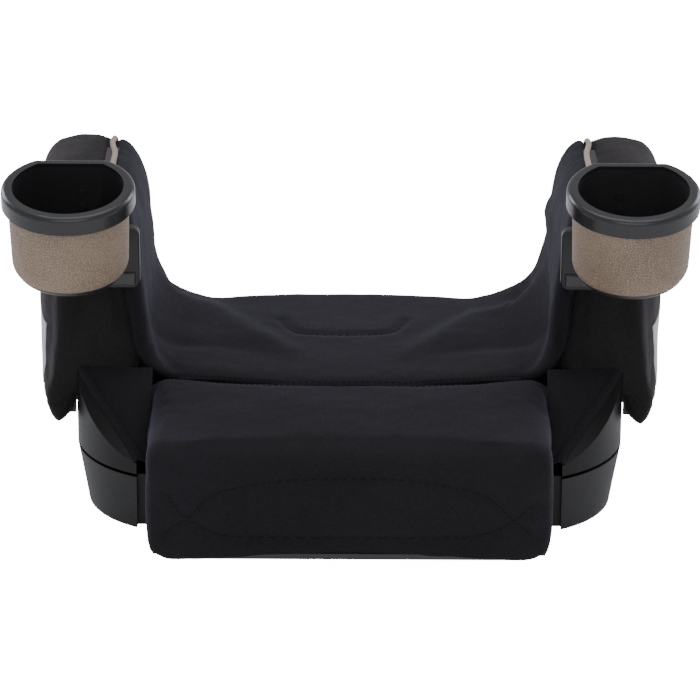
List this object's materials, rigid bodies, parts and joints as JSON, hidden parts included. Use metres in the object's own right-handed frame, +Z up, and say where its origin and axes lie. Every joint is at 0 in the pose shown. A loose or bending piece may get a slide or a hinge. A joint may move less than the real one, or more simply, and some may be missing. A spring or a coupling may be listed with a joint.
{
  "type": "booster seat",
  "caption": "Backless child booster seat: padded seat with a deep nose, two upholstered armrests, plastic base and lift-off cup holders.",
  "frame": {"origin": "on the floor under the middle of the seat, at the middle of the object's plan", "axes": "+Z up; -Y is the front, the way the child faces; +X is the right side seen from the front"},
  "size_m": [0.5186, 0.35, 0.2829],
  "materials": {
    "base_plastic": "fine-grained dark grey moulded plastic",
    "bracket_plastic": "black moulded plastic",
    "tab_plastic": "dark grey moulded plastic",
    "core_plastic": "unfinished moulded plastic",
    "seat_fabric": "dark navy knit laminated to foam",
    "armrest_fabric": "brownish black knit laminated to foam",
    "foam": "open-cell foam",
    "piping_cloth": "beige woven piping",
    "label_cloth": "blank white sewn label",
    "cup_plastic": "black moulded plastic",
    "rim_plastic": "black satin moulded plastic",
    "leatherette": "beige grained leatherette",
    "screw_steel": "zinc plated",
    "foot_rubber": "matt black rubber"
  },
  "bodies": {
    "base": {"base_tray": "base_plastic", "seat_shell": "base_plastic", "left_side_trim": "base_plastic", "right_side_trim": "base_plastic", "left_cup_bracket": "bracket_plastic", "right_cup_bracket": "bracket_plastic", "left_armrest_core": "core_plastic", "right_armrest_core": "core_plastic", "cover_hem_strip": "core_plastic", "seat_cover": "seat_fabric", "left_corner_skirt": "seat_fabric", "right_corner_skirt": "seat_fabric", "left_armrest_cover": "armrest_fabric", "right_armrest_cover": "armrest_fabric", "seat_foam": "foam", "left_bolster_foam": "foam", "right_bolster_foam": "foam", "left_armrest_foam": "foam", "right_armrest_foam": "foam", "left_piping": "piping_cloth", "right_piping": "piping_cloth", "left_side_label": "label_cloth", "right_side_label": "label_cloth", "base_screws": "screw_steel", "armrest_screws": "screw_steel", "bracket_screws": "screw_steel", "rubber_feet": "foot_rubber"},
    "left_cup": {"left_cup_liner": "cup_plastic", "left_cup_rim": "rim_plastic", "left_cup_wrap": "leatherette", "left_cup_hanger": "bracket_plastic", "left_cup_screws": "screw_steel"},
    "right_cup": {"right_cup_liner": "cup_plastic", "right_cup_rim": "rim_plastic", "right_cup_wrap": "leatherette", "right_cup_hanger": "bracket_plastic", "right_cup_screws": "screw_steel"},
    "left_tab": {"left_release_tab": "tab_plastic"},
    "right_tab": {"right_release_tab": "tab_plastic"}
  },
  "joints": [
    {"name": "left_cup_lift", "type": "slide", "parent": "base", "child": "left_cup", "axis": [0, 0, 1], "range_m": [0, 0.06]},
    {"name": "right_cup_lift", "type": "slide", "parent": "base", "child": "right_cup", "axis": [0, 0, 1], "range_m": [0, 0.06]},
    {"name": "left_tab_press", "type": "slide", "parent": "base", "child": "left_tab", "axis": [0, 1, 0], "range_m": [0, 0.0016], "stiffness_N_per_m": 900, "springref_m": -0.001},
    {"name": "right_tab_press", "type": "slide", "parent": "base", "child": "right_tab", "axis": [0, 1, 0], "range_m": [0, 0.0016], "stiffness_N_per_m": 900, "springref_m": -0.001}
  ]
}
